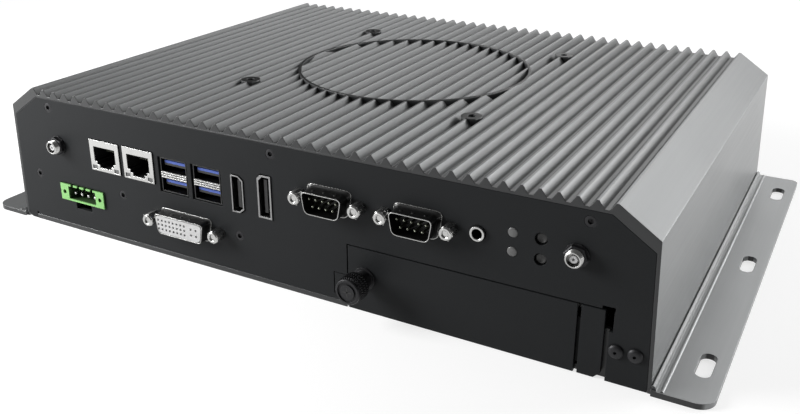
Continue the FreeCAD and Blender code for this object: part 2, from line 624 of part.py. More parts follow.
def heat_spreader():
    """Block that carries the processor's heat to the roof, cleared round the middle screw channel."""
    z0 = MAIN_Z + CPU_H + PAD_T
    block = box(CPU_X - 25, CPU_X + 25, CPU_Y - 25, CPU_Y + 25, z0, ROOF_Z)
    wide = box(CPU_X - 34, CPU_X + 34, CPU_Y - 34, CPU_Y + 34, ROOF_Z - 6.0, ROOF_Z)
    return fuse([block, wide]).cut(peg_y(3.9, TOP_SCREWS[1], TOP_SCREW_Z, CPU_Y - 40, CPU_Y + 40))


MEM_X, MEM_Y, MEM_W = BAY_X0 + 10.6, 20.0, 70.0


def memory_socket():
    body = box(MEM_X, MEM_X + MEM_W, MEM_Y, MEM_Y + 6, MAIN_Z, MAIN_Z + 5.0)
    arms = [box(x, x + 2.0, MEM_Y + 5, MEM_Y + 30, MAIN_Z, MAIN_Z + 4.0) for x in (MEM_X, MEM_X + MEM_W - 2.0)]
    slot = box(MEM_X + 2.0, MEM_X + MEM_W - 2.0, MEM_Y + 2, MEM_Y + 31, MAIN_Z + 2.0, MAIN_Z + 3.4)
    return fuse([body] + arms).cut(slot)


def memory_module():
    card = box(MEM_X + 2.2, MEM_X + MEM_W - 2.2, MEM_Y + 2.2, MEM_Y + 30, MAIN_Z + 2.0, MAIN_Z + 3.2)
    chips = [box(MEM_X + 6 + 15 * k, MEM_X + 17 + 15 * k, MEM_Y + 12, MEM_Y + 22, MAIN_Z + 3.1, MAIN_Z + 4.2)
             for k in range(4)]
    return fuse([card] + chips)


CELL_X, CELL_Y, CELL_R = -60.0, 40.0, 10.0


def cell_holder():
    outer = peg_z(CELL_R + 2.2, CELL_X, CELL_Y, MAIN_Z, MAIN_Z + 4.6, 16)
    return outer.cut(peg_z(CELL_R + 0.2, CELL_X, CELL_Y, MAIN_Z + 1.0, MAIN_Z + 6, 16))


def coin_cell():
    return peg_z(CELL_R, CELL_X, CELL_Y, MAIN_Z + 1.0, MAIN_Z + 4.2, 16)


def board_link():
    """Stacking connector between the two boards."""
    return box(-30.0, 10.0, -20.0, -14.0, LOW_Z, MAIN_Z - BOARD_T)


# ---------------------------------------------------------------- connectors
# The mouth of a network socket, with its stepped key below.
LAN_MOUTH = [(-5.9, 3.9), (5.9, 3.9), (5.9, -2.6), (4.6, -2.6), (4.6, -3.9), (3.2, -3.9), (3.2, -5.3),
             (-3.2, -5.3), (-3.2, -3.9), (-4.6, -3.9), (-4.6, -2.6), (-5.9, -2.6)]


def lan_shell(n):
    """Folded shield round the socket, open below and behind."""
    x, z = LAN[n]
    w, h = LAN_W / 2, LAN_H / 2
    y0, y1 = YF - 0.5, YF + 21.0
    body = box(x - w, x + w, y0, y1, MAIN_Z, z + h)
    tools = [box(x - w + 0.5, x + w - 0.5, y0 + 0.8, y1 + 1, MAIN_Z - 1, z + h - 0.5)]
    tools.append(plate_y(at(LAN_MOUTH, LAN[n]), y0 - 1, y0 + 2))
    tools.append(box(x - w - 1, x + w + 1, y0 - 1, y0 + 3.0, MAIN_Z - 1, z - h))
    tools += [box(x + s * 6.0 - 1.3, x + s * 6.0 + 1.3, y0 - 1, y0 + 1, z - 6.2, z - 4.4) for s in (-1, 1)]
    return cut(body, tools)


def lan_insert(n):
    x, z = LAN[n]
    w, h = LAN_W / 2 - 0.6, LAN_H / 2 - 0.6
    y0, y1 = YF + 0.4, YF + 20.6
    body = box(x - w, x + w, y0, y1, MAIN_Z, z + h)
    step = box(x - w - 1, x + w + 1, y0 - 1, YPI + 0.5, MAIN_Z - 1, z - LAN_H / 2 + 0.2)
    return cut(body, [step, plate_y(at(LAN_MOUTH, LAN[n]), y0 - 1, y0 + 12.5)])


def usb_shell(n):
    """One shell for two stacked sockets."""
    x, z = USB[n]
    w, h = USB_W / 2, USB_H / 2
    y0, y1 = YF + 0.4, YF + 17.5
    body = box(x - w, x + w, y0, y1, MAIN_Z, z + h)
    tools = [box(x - w - 1, x + w + 1, y0 - 1, YPI + 0.4, MAIN_Z - 1, z - h)]
    for dz in (4.1, -4.1):
        tools.append(box(x - w + 0.4, x + w - 0.4, y0 - 1, y1 - 0.6, z + dz - 2.7, z + dz + 2.7))
    tools.append(box(x - w + 1.5, x + w - 1.5, y0 + 3.0, y1 - 0.6, z - 1.5, z + 1.5))
    return cut(body, tools)


def usb_insert(n):
    """Blue insulator: two tongues on a back wall."""
    x, z = USB[n]
    w = USB_W / 2 - 0.6
    y0, y1 = YF + 1.6, YF + 16.6
    parts = []
    for dz in (4.1, -4.1):
        parts.append(box(x - w + 0.7, x + w - 0.7, y0, y1 - 1.5, z + dz - 0.2, z + dz + 1.7))
        parts.append(box(x - w, x + w, y1 - 2.0, y1, z + dz - 2.5, z + dz + 2.5))
    parts.append(box(x - w + 1.2, x + w - 1.2, y1 - 2.0, y1, z - 3.0, z + 3.0))
    return fuse(parts)


def port_shell(outer, inner, centre, h, depth):
    """Upright metal sleeve with a closed back, standing on a foot."""
    x, z = centre
    sleeve = plate_y(outer, YF - 0.4, YF + depth).cut(plate_y(inner, YF - 1.4, YF + depth - 0.5))
    foot = box(x - 2.0, x + 2.0, YPI + 1.0, YF + depth - 0.5, MAIN_Z, z - h / 2 + 0.3)
    return fuse([sleeve, foot])


def hdmi_shell():
    return port_shell(hdmi_outline(), hdmi_outline(-0.5), HDMI, HDMI_H, 12.0)


def hdmi_insert():
    x, z = HDMI
    back = plate_y(hdmi_outline(-0.6), YF + 7.5, YF + 11.5)
    return fuse([back, box(x - 0.4, x + 1.0, YF + 0.8, YF + 8, z - 5.6, z + 5.6)])


def dport_shell():
    return port_shell(dport_outline(), dport_outline(-0.7), DPORT, DPORT_H, 12.5)


def dport_insert():
    x, z = DPORT
    back = plate_y(dport_outline(-0.8), YF + 8.0, YF + 12.0)
    return fuse([back, box(x - 0.7, x + 0.7, YF + 0.8, YF + 8.5, z - 6.7, z + 6.7)])


def jack_spots():
    spots = [(x + s * COM_JACK, z) for x, z in COM for s in (-1, 1)]
    return spots + [(DVI[0] + s * DVI_JACK, DVI[1]) for s in (-1, 1)]


def d_shell(centre, w, h, out, flange_w, flange_h, r, jack, step=0.0):
    """D-shaped skirt on a flange that lies behind the panel."""
    x, z = centre
    back = YPI + 1.0
    parts = [plate_y(d_outline(centre, w, h, 0.0, r), YF - out, back)]
    if step:
        parts.append(plate_y(d_outline(centre, w, h, step, r), YF - 1.6, back))
    parts.append(box(x - flange_w / 2, x + flange_w / 2, YPI + FIT, back, z - flange_h / 2, z + flange_h / 2))
    tools = [plate_y(d_outline(centre, w, h, -0.45, r), YF - out - 1, back + 1)]
    tools += [peg_y(1.65, x + s * jack, z, YPI, YPI + 3) for s in (-1, 1)]
    return cut(fuse(parts), tools)


def com_shell(n):
    return d_shell(COM[n], COM_W, COM_H, 6.0, COM_FLANGE_W, COM_FLANGE_H, 2.2, COM_JACK, 0.6)


def com_insert(n):
    x, z = COM[n]
    plug = plate_y(d_outline(COM[n], COM_W, COM_H, -0.55), YF - 0.2, YPI + 1.6)
    return fuse([plug, box(x - 9.5, x + 9.5, YPI + 1.1, YPI + 8.0, MAIN_Z, z + 5.0)])


def com_pins(n):
    """Nine pins in rows of five and four."""
    x, z = COM[n]
    spots = [(x + 2.77 * (k - 2), z + 1.42) for k in range(5)]
    spots += [(x + 2.77 * (k - 1.5), z - 1.42) for k in range(4)]
    return Part.makeCompound([peg_y(0.5, px, pz, YF - 5.0, YF - 0.2, 6) for px, pz in spots])


def dvi_shell():
    return d_shell(DVI, DVI_W, DVI_H, 5.0, DVI_FLANGE_W, DVI_FLANGE_H, 1.6, DVI_JACK)


def dvi_insert():
    """Pale face with three rows of eight holes and four more beside them."""
    x, z = DVI
    plug = plate_y(d_outline(DVI, DVI_W, DVI_H, -0.55, 1.5), YF - 5.1, YPI + 1.6)
    body = fuse([plug, box(x - 14.0, x + 14.0, YPI + 1.1, YPI + 9.0, LOW_Z, z + 5.0)])
    spots = [(x - 10.3 + 1.9 * k, z + 1.9 * j) for k in range(8) for j in (-1, 0, 1)]
    spots += [(x + 7.6 + 1.25 * sx, z + 1.25 * sz) for sx in (-1, 1) for sz in (-1, 1)]
    return cut(body, [box(px - 0.45, px + 0.45, YF - 6, YF - 3.6, pz - 0.45, pz + 0.45) for px, pz in spots])


def jack_screws():
    """Hexagon lock screws with a tapped hole in the head."""
    out = []
    for x, z in jack_spots():
        screw = fuse([hex_y(4.76, x, z, YF - 5.0, YF), peg_y(1.45, x, z, YF - 0.5, YPI + 4.0, 6)])
        out.append(screw.cut(peg_y(1.3, x, z, YF - 6, YF - 1.0)))
    return Part.makeCompound(out)


def audio_jack():
    x, z = AUDIO
    sleeve = peg_y(AUDIO_RING, x, z, YF - 1.0, YPI + 0.6, 12)
    body = box(x - 4.0, x + 4.0, YPI + 0.5, YPI + 12.0, MAIN_Z, z + 4.0)
    return fuse([sleeve, body]).cut(rod_y(AUDIO_R, x, z, YF - 2, YPI + 10.0))


def terminal_header():
    """Power header with a well for its plug, four key ways and a screw ear at each end."""
    x, z = TERM
    w, h = TERM_W / 2, TERM_H / 2
    y0, y1 = YF - 0.8, YF + 9.0
    body = fuse([box(x - w, x + w, y0, y1, z - h, z + h), box(x - 8.5, x + 8.5, YPI + 0.6, y1, LOW_Z, z)])
    tools = [box(x - 7.9, x + 7.9, y0 - 1, y1 - 1.5, z - h + 0.8, z + h - 0.8)]
    for k in range(4):
        px = x + TERM_PITCH * (k - 1.5)
        tools.append(box(px - 0.7, px + 0.7, y0 - 1, y1 - 1.5, z + h - 1.0, z + h + 1))
    tools += [peg_y(1.0, x + s * 10.3, z, y0 - 1, y0 + 5) for s in (-1, 1)]
    return cut(body, tools)


def terminal_pins():
    x, z = TERM
    return Part.makeCompound([box(x + TERM_PITCH * (k - 1.5) - 0.5, x + TERM_PITCH * (k - 1.5) + 0.5,
                                  YF + 0.8, YF + 7.5, z - 1.0, z) for k in range(4)])


def antenna_jack(n):
    """Coaxial jack: a threaded barrel, its socket with a centre pin, and a hexagon behind the panel."""
    x, z = ANTENNAS[n]
    nut_face = YF - WASHER_T - NUT_T
    barrel = rod_y(ANT_R, x, z, YF - ANT_OUT, nut_face)
    root = peg_y(ANT_ROOT_R, x, z, nut_face, YPI + 0.4, 12)
    body = fuse([barrel, root, hex_y(8.0, x, z, YPI, YPI + 2.6), peg_y(2.2, x, z, YPI + 2.0, YPI + 8.0)])
    socket = peg_y(2.2, x, z, YF - ANT_OUT - 1, YF - 1.0, 12).cut(peg_y(1.2, x, z, YF - ANT_OUT + 0.4, YF, 6))
    return cut(body, [socket])


def antenna_nuts():
    y1 = YF - WASHER_T
    return Part.makeCompound([hex_y(NUT_AF, x, z, y1 - NUT_T, y1).cut(peg_y(ANT_ROOT_R, x, z, y1 - 5, YF, 12))
                              for x, z in ANTENNAS])


def antenna_washers():
    out = []
    for x, z in ANTENNAS:
        disc = peg_y(4.2, x, z, YF - WASHER_T, YF, 12)
        out.append(disc.cut(peg_y(ANT_ROOT_R, x, z, YF - 5, YF + 1, 12)))
    return Part.makeCompound(out)


SMALL_BOARD_Y = YPI + 6.0
SMALL_BOARD_X = (LEDS[0][0] - 4.4, BUTTONS[0][0] + 5.0)


def led_lenses():
    """Light pipes from the small board to the panel's face."""
    return Part.makeCompound([fuse([peg_y(LED_R, x, z, YF + 0.1, SMALL_BOARD_Y - 0.8, 12),
                                    peg_y(2.4, x, z, SMALL_BOARD_Y - 1.6, SMALL_BOARD_Y)]) for x, z in LEDS])


def button(n):
    """Push button: its cap stands in a panel hole and a collar keeps it in."""
    x, z = BUTTONS[n]
    cap = peg_y(BUTTON_R, x, z, YF + 0.7, YPI + 1.2, 12)
    return fuse([cap, peg_y(2.7, x, z, YPI + 0.2, YPI + 1.4, 12)])


def button_switches():
    return Part.makeCompound([box(x - 2.9, x + 2.9, YPI + 2.3, SMALL_BOARD_Y, z - 2.9, z + 2.9)
                              for x, z in BUTTONS])


def front_board():
    """Small upright board that carries the lights and the switches."""
    x0, x1 = SMALL_BOARD_X
    return box(x0, x1, SMALL_BOARD_Y, SMALL_BOARD_Y + BOARD_T, MAIN_Z, LEDS[0][1] + 4.6)


NODES = {
    "finned_cover": finned_cover,
    "base_plate": base_plate,
    "front_panel": front_panel,
    "rear_panel": rear_panel,
    "panel_screws": panel_screws,
    "rear_screws": rear_screws,
    "foot_screws": foot_screws,
    "bay_door": bay_door,
    "thumb_screw": thumb_screw,
    "drive_tray": drive_tray,
    "drive_cage": drive_cage,
    "storage_drive": storage_drive,
    "drive_screws": drive_screws,
    "power_board": power_board,
    "mainboard": mainboard,
    "short_posts": short_posts,
    "board_spacers": board_spacers,
    "tall_posts": tall_posts,
    "board_screws": board_screws,
    "processor": processor,
    "thermal_pad": thermal_pad,
    "heat_spreader": heat_spreader,
    "memory_socket": memory_socket,
    "memory_module": memory_module,
    "cell_holder": cell_holder,
    "coin_cell": coin_cell,
    "board_link": board_link,
    "lan_shell_1": lambda: lan_shell(0),
    "lan_shell_2": lambda: lan_shell(1),
    "lan_insert_1": lambda: lan_insert(0),
    "lan_insert_2": lambda: lan_insert(1),
    "usb_shell_1": lambda: usb_shell(0),
    "usb_shell_2": lambda: usb_shell(1),
    "usb_insert_1": lambda: usb_insert(0),
    "usb_insert_2": lambda: usb_insert(1),
    "hdmi_shell": hdmi_shell,
    "hdmi_insert": hdmi_insert,
    "displayport_shell": dport_shell,
    "displayport_insert": dport_insert,
    "dvi_shell": dvi_shell,
    "dvi_insert": dvi_insert,
    "com_shell_1": lambda: com_shell(0),
    "com_shell_2": lambda: com_shell(1),
    "com_insert_1": lambda: com_insert(0),
    "com_insert_2": lambda: com_insert(1),
    "com_pins_1": lambda: com_pins(0),
    "com_pins_2": lambda: com_pins(1),
    "jack_screws": jack_screws,
    "audio_jack": audio_jack,
    "terminal_header": terminal_header,
    "terminal_pins": terminal_pins,
    "antenna_jack_1": lambda: antenna_jack(0),
    "antenna_jack_2": lambda: antenna_jack(1),
    "antenna_nuts": antenna_nuts,
    "antenna_washers": antenna_washers,
    "led_lenses": led_lenses,
    "power_button": lambda: button(0),
    "reset_button": lambda: button(1),
    "button_switches": button_switches,
    "front_board": front_board,
}

os.makedirs("parts", exist_ok=True)
for name, make in NODES.items():
    shape = make()
    shape.exportStep("parts/" + name + ".step")
    solids = shape.Solids
    print(name, len(solids), "solids, valid", shape.isValid(), round(sum(s.Volume for s in solids), 1))
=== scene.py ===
# %% [markdown]
# A fanless industrial computer, dressed for a picture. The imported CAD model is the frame: its nodes
# stay where they are, and this script gives them their finishes and adds the small turned, threaded and
# folded pieces that a plain solid leaves out. Everything is in metres, in the frame of the CAD: X runs
# across the front, Y from the front panel to the back, and Z up.

# %% Load the frame
import json
import math

import bmesh
import bpy
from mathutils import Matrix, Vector


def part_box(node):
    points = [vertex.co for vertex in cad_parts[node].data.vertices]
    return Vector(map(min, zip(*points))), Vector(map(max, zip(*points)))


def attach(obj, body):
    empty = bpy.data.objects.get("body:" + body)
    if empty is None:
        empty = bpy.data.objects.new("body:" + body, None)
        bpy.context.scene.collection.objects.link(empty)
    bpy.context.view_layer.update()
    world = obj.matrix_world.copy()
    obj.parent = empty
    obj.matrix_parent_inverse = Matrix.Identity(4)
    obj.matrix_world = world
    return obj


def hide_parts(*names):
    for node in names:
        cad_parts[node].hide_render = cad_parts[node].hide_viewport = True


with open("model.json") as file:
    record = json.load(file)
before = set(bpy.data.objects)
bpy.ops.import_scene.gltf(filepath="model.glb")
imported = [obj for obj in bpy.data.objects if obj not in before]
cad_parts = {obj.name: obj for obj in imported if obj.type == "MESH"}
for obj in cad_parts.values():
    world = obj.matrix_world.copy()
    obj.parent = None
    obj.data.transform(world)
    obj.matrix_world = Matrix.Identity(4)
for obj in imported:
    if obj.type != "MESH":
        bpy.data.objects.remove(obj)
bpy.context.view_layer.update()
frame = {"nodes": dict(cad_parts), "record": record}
nodes = frame["nodes"]

# %% [markdown]
# Distances are easier to read in millimetres, as a maker writes them, while Blender wants metres.

# %% Units
MM = 0.001
scene = bpy.context.scene


def mm(*values):
    """Millimetres to metres, as one number or a vector."""
    return values[0] * MM if len(values) == 1 else Vector([v * MM for v in values])


# %% [markdown]
# The camera comes first. The case is seen from the front right and from above, by a lens near 41 mm on
# a full-frame sensor. Its middle lies a little above the optical axis, so the lens is shifted by a
# twentieth of its width instead of being turned, which keeps upright edges upright.

# %% Camera
CAMERA_AT = Vector((0.18703, -0.34948, 0.17062))
CAMERA_YAW, CAMERA_PITCH = math.radians(28.797), math.radians(21.503)

lens = bpy.data.cameras.new("camera")
lens.lens = 40.84
lens.sensor_width = 36.0
lens.shift_y = -0.05
lens.clip_start = 0.01
camera = bpy.data.objects.new("camera", lens)
camera.location = CAMERA_AT
camera.rotation_euler = (math.pi / 2 - CAMERA_PITCH, 0, CAMERA_YAW)
scene.collection.objects.link(camera)
scene.camera = camera
print("camera at", tuple(round(v, 3) for v in camera.location))

# %% [markdown]
# Shader maths reads best as ordinary arithmetic. A Wire holds the output of a node, and each operator
# adds the Math node that it stands for. A Finish is a material under construction: its node method
# makes any other node, with its settings first and then its sockets.

# %% Shader helpers
class Wire:
    """An output socket; arithmetic on it adds Math nodes."""

    def __init__(self, finish, socket):
        self.finish, self.socket = finish, socket

    def math(self, operation, *values):
        return self.finish.node("ShaderNodeMath", {"operation": operation}, dict(enumerate(values)))

    def __add__(self, other):
        return self.math("ADD", self, other)

    def __sub__(self, other):
        return self.math("SUBTRACT", self, other)

    def __rsub__(self, other):
        return self.math("SUBTRACT", other, self)

    def __mul__(self, other):
        return self.math("MULTIPLY", self, other)

    def __truediv__(self, other):
        return self.math("DIVIDE", self, other)

    __radd__ = __add__
    __rmul__ = __mul__


class Finish:
    """A material under construction, with a Principled shader at its end."""

    def __init__(self, name):
        self.material = bpy.data.materials.new(name)
        self.material.use_nodes = True
        self.tree = self.material.node_tree
        self.shader = self.tree.nodes["Principled BSDF"]

    def node(self, kind, settings=None, sockets=None, out=0):
        node = self.tree.nodes.new(kind)
        for key, value in (settings or {}).items():
            setattr(node, key, value)
        for key, value in (sockets or {}).items():
            self.feed(node.inputs[key], value)
        return Wire(self, node.outputs[out])

    def feed(self, socket, value):
        if isinstance(value, Wire):
            self.tree.links.new(value.socket, socket)
        elif socket.type == "RGBA" and len(value) == 3:
            socket.default_value = (*value, 1)
        else:
            socket.default_value = value

    def set(self, **values):
        """Principled sockets by name, with _ for a space."""
        for key, value in values.items():
            self.feed(self.shader.inputs[key.replace("_", " ")], value)

    def place(self):
        return self.node("ShaderNodeTexCoord", out=3)

    def along(self, axis, out=3):
        """One axis of the Object coordinates, or of the Normal with out=1."""
        vector = self.node("ShaderNodeTexCoord", out=out)
        return self.node("ShaderNodeSeparateXYZ", {}, {"Vector": vector}, out=axis)

    def noise(self, scale, detail=2.0, stretch=(1, 1, 1)):
        """Noise from 0 to 1 whose grain is 1 / scale metres across."""
        vector = self.node("ShaderNodeMapping", {}, {"Vector": self.place(), "Scale": stretch})
        return self.node("ShaderNodeTexNoise", {}, {"Vector": vector, "Scale": scale, "Detail": detail})

    def mix(self, factor, a, b):
        return self.node("ShaderNodeMix", {"data_type": "RGBA"}, {0: factor, 6: a, 7: b}, out=2)

    def clamped(self, wire):
        return self.node("ShaderNodeClamp", {}, {"Value": wire})

    def bump(self, height, distance, strength=1.0):
        return self.node("ShaderNodeBump", {}, {"Height": height, "Distance": distance, "Strength": strength})


def shade(colour, factor):
    return tuple(min(1.0, c * factor) for c in colour)


# %% [markdown]
# The finned cover is an aluminium extrusion, anodised a satin grey. Extruding leaves fine lines along
# its length. The fins are painted darker than the smooth walls, darkest in their valleys, and this is
# painted shade; their tips are painted lighter than their flanks, a painted highlight, though still
# darker than the walls. The tops of the round rib and the bosses are painted nearly black, which is
# painted shade too. A colour for each face could do the same, but a mask on the height needs no extra
# mesh. The two sawn ends are black like the panels, which is seen on the front one and assumed for the
# other, and the surface normal tells the shader where an end is. A real extrusion has no sharp edge,
# and the Bevel node bends the normals at each edge as a small radius would.

# %% Anodised extrusion
# The fin values are painted shade for the valleys and flanks and a painted highlight for the tips; the rib
# value is painted shade.
VALLEY_SHADE, FLANK_SHADE, TIP_HIGHLIGHT, RIB_SHADE = 0.28, 0.6, 0.8, 0.12
BEVEL_SAMPLES = 6


def anodised(name, colour, roughness=0.42, metallic=0.6, soft_edge=0.35, ends=None, fins=None):
    f = Finish(name)
    lines = f.noise(900, 3, (1, 0.02, 1))
    cloud = f.noise(14, 2)
    paint = f.mix(cloud, shade(colour, 0.9), shade(colour, 1.1))
    metal = metallic
    if fins:
        crest, tip, depth = fins
        x, z = f.along(0), f.along(2)
        level = (z - (tip - depth)) / depth
        among = f.clamped((crest - x.math("ABSOLUTE", x)) / mm(0.3)) * f.clamped(level * 20.0 + 2.0)
        rise = f.clamped(level)
        # Painted shade: the fins darken from their flanks down to their valleys.
        paint = f.mix(among, paint, f.mix(rise, shade(colour, VALLEY_SHADE), shade(colour, FLANK_SHADE)))
        # Painted highlight: the fin tips are painted lighter than their flanks.
        paint = f.mix(among * f.clamped(level * 12.0 - 11.0), paint, shade(colour, TIP_HIGHLIGHT))
        # Painted shade: the rib and boss tops, above the fin tips, are painted nearly black.
        paint = f.mix(among * f.clamped((z - tip) / mm(0.1) - 0.5), paint, shade(colour, RIB_SHADE))
    if ends:
        facing = f.along(1, out=1)
        end = f.clamped((facing.math("ABSOLUTE", facing) - 0.8) * 8.0)
        paint = f.mix(end, paint, ends)
        metal = metallic - end * metallic
    edge = f.node("ShaderNodeBevel", {"samples": BEVEL_SAMPLES}, {"Radius": mm(soft_edge)})
    bump = f.node("ShaderNodeBump", {}, {"Height": lines, "Distance": mm(0.02), "Strength": 0.35,
                                         "Normal": edge})
    f.set(Base_Color=paint, Metallic=metal, Roughness=roughness - 0.05 + lines * 0.1, Normal=bump)
    return f.material


# %% [markdown]
# Powder coat is a fine orange-peel skin: close, shallow bumps a few tenths of a millimetre across. It
# is thinner over an edge, which the same small radius suggests. Real displacement would need millions
# of faces for this grain, so a bump does it.

# %% Powder coat
def coated(name, colour, roughness=0.5, grain=0.05, soft_edge=0.3):
    f = Finish(name)
    peel = f.noise(2600, 2)
    cloud = f.noise(30, 2)
    edge = f.node("ShaderNodeBevel", {"samples": BEVEL_SAMPLES}, {"Radius": mm(soft_edge)})
    bump = f.node("ShaderNodeBump", {}, {"Height": peel, "Distance": mm(grain), "Strength": 0.5,
                                         "Normal": edge})
    f.set(Base_Color=f.mix(cloud, shade(colour, 0.9), shade(colour, 1.1)), Specular_IOR_Level=0.1,
          Roughness=roughness - 0.04 + peel * 0.08, Normal=bump)
    return f.material


# %% [markdown]
# Plated steel is bright and slightly uneven, with faint marks from stamping. Where a shield is bent
# round a socket the marks run along the bend, so the noise is stretched one way. An image of scratches
# would do as well, but a noise has no seam and needs no file.

# %% Plated steel
def plated(name, colour, roughness=0.25, metallic=1.0):
    f = Finish(name)
    marks = f.noise(1400, 3, (1, 0.3, 1))
    cloud = f.noise(220, 2)
    edge = f.node("ShaderNodeBevel", {"samples": 4}, {"Radius": mm(0.15)})
    bump = f.node("ShaderNodeBump", {}, {"Height": marks, "Distance": mm(0.01), "Strength": 0.3,
                                         "Normal": edge})
    f.set(Base_Color=f.mix(cloud, shade(colour, 0.82), colour), Metallic=metallic,
          Roughness=roughness - 0.05 + marks * 0.14, Normal=bump)
    return f.material


# %% [markdown]
# Moulded plastic has the soft grain of a spark-eroded mould. A second, broader noise varies its colour
# a little, since no moulding is quite even. The green header is painted darker behind its face, where its
# walls close in: this is painted shade, put in because with these lamps its cavity comes out too bright.

# %% Moulded plastic
def moulded(name, colour, roughness=0.45, face=None):
    f = Finish(name)
    grain = f.noise(3200, 2)
    cloud = f.noise(260, 2)
    paint = f.mix(cloud, shade(colour, 0.88), shade(colour, 1.08))
    if face:
        depth = f.along(1)
        # Painted shade: the green darkens to a tenth behind the header's face.
        paint = f.mix(f.clamped((depth - face) / mm(0.6)), paint, shade(colour, 0.1))
    f.set(Base_Color=paint, Roughness=roughness - 0.05 + grain * 0.1, Normal=f.bump(grain, mm(0.02), 0.4))
    return f.material


# %% [markdown]
# Each slot of the record gets one finish, and each CAD node takes the finish of its slot.

# %% Finishes of the frame
BLACK = (0.016, 0.017, 0.018)
GREY = (0.22, 0.225, 0.227)
cover_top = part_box("finned_cover")[1][2] - mm(0.2)
FIN_DEPTH = mm(2.7)
crest = max(v.co.x for v in nodes["finned_cover"].data.vertices if v.co.z > cover_top - mm(1.0))
print("fins reach out to", round(crest, 4))
FINISH = {
    "cover_metal": anodised("cover_anodised", GREY, 0.38, 0.7, 0.4, BLACK, (crest, cover_top, FIN_DEPTH)),
    "panel_paint": coated("panel_powder_coat", BLACK, 0.42),
    "base_paint": anodised("base_anodised", GREY, 0.4, 0.7, 0.3, BLACK),
    "black_screw": plated("black_oxide", (0.018, 0.018, 0.02), 0.45, 0.5),
    "plated_steel": plated("bright_plate", (0.55, 0.55, 0.54)),
    "dark_shell": plated("dark_plate", (0.07, 0.07, 0.07), 0.35),
    "black_plastic": moulded("black_moulding", (0.008, 0.008, 0.008)),
    "blue_plastic": moulded("blue_moulding", (0.05, 0.1, 0.4)),
    "pale_plastic": moulded("pale_moulding", (0.5, 0.5, 0.5)),
    "green_plastic": moulded("green_moulding", (0.2, 0.46, 0.14), 0.5,
                             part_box("terminal_header")[0][1] + mm(0.1)),
    "gold": plated("contact_plate", (0.2, 0.21, 0.17), 0.35),
    "lens": moulded("light_pipe", (0.11, 0.11, 0.11), 0.3),
    "board": moulded("solder_mask", (0.02, 0.12, 0.05), 0.35),
    "pad": moulded("thermal_pad", (0.5, 0.52, 0.56), 0.7),
    "bare_alu": anodised("machined_aluminium", (0.7, 0.7, 0.7), 0.35, 1.0),
}
DULL = plated("dull_plate", (0.3, 0.3, 0.3), 0.35)
DARK = plated("smoked_plate", (0.06, 0.06, 0.06), 0.35)
slot_of = {part["node"]: part["material_slot"] for part in frame["record"]["subparts"]}
for name, node in nodes.items():
    node.data.materials.clear()
    finish = FINISH[slot_of[name]]
    if name.startswith("usb_shell"):
        finish = DARK
    elif name.startswith(("hdmi_shell", "displayport_shell")):
        finish = DULL
    node.data.materials.append(finish)
print("finishes", len(FINISH))

# %% [markdown]
# Small turned and folded pieces are built from outlines. A Shape gathers rings of points: a lathe turns
# a profile about an axis that runs along Y, and a sleeve joins one outline to the next. Its piece
# method makes one mesh of closed forms with outward faces and gives it the finish of its slot and a body.

# %% Shapes from outlines
class Shape:
    def __init__(self):
        self.points, self.faces = [], []

    def sleeve(self, rings, closed=True, ends=True):
        """Join rings of equal count. Closed sleeves run round from the last ring to the first."""
        first, count = len(self.points), len(rings[0])
        for ring in rings:
            self.points += ring
        turns = len(rings) if closed else len(rings) - 1
        for k in range(turns):
            a, b = first + k * count, first + (k + 1) % len(rings) * count
            for i in range(count):
                j = (i + 1) % count
                self.faces.append((a + i, a + j, b + j, b + i))
        if not closed and ends:
            self.faces.append(tuple(range(first, first + count)))
            last = first + (len(rings) - 1) * count
            self.faces.append(tuple(range(last, last + count)))
        return self

    def lathe(self, x, z, profile, sides=32, tube=False):
        """Turn (y, r) pairs about the line through x and z. A tube's profile comes back to its start."""
        angles = [2 * math.pi * k / sides for k in range(sides)]
        rings = [[(x + r * math.cos(a), y, z + r * math.sin(a)) for a in angles] for y, r in profile]
        return self.sleeve(rings, closed=tube)

    def block(self, lo, hi):
        (x0, y0, z0), (x1, y1, z1) = lo, hi
        corners = [(x0, z0), (x1, z0), (x1, z1), (x0, z1)]
        return self.sleeve([[(x, y, z) for x, z in corners] for y in (y0, y1)], closed=False)

    def mesh(self, name, smooth=35.0):
        mesh = bpy.data.meshes.new(name)
        mesh.from_pydata(self.points, [], self.faces)
        work = bmesh.new()
        work.from_mesh(mesh)
        bmesh.ops.remove_doubles(work, verts=work.verts, dist=1e-7)
        bmesh.ops.recalc_face_normals(work, faces=work.faces)
        work.to_mesh(mesh)
        work.free()
        mesh.shade_smooth()
        mesh.set_sharp_from_angle(angle=math.radians(smooth))
        return mesh

    def piece(self, name, slot, body="housing", replaces=(), finish=None):
        return settle(bpy.data.objects.new(name, self.mesh(name)), slot, body, replaces, finish)


def settle(thing, slot, body="housing", replaces=(), finish=None):
    """Link a finished piece, give it its finish, tie it to its body, and hide the CAD parts that it replaces.
    """
    if thing.name not in scene.collection.objects:
        scene.collection.objects.link(thing)
    if not thing.data.materials:
        thing.data.materials.append(finish or FINISH[slot])
    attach(thing, body)
    if replaces:
        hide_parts(*replaces)
    print(thing.name, len(thing.data.polygons), "faces")
    return thing


def middle(name):
    """The middle of a node's box, with its front and back along Y."""
    lo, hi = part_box(name)
    return (lo[0] + hi[0]) / 2, (lo[2] + hi[2]) / 2, lo[1], hi[1]


# %% [markdown]
# Screws and pins come in groups that share a node, so their places are read from the CAD itself. A copy
# of the mesh is merged, its linked faces are gathered, and each solid of the group gives a box.

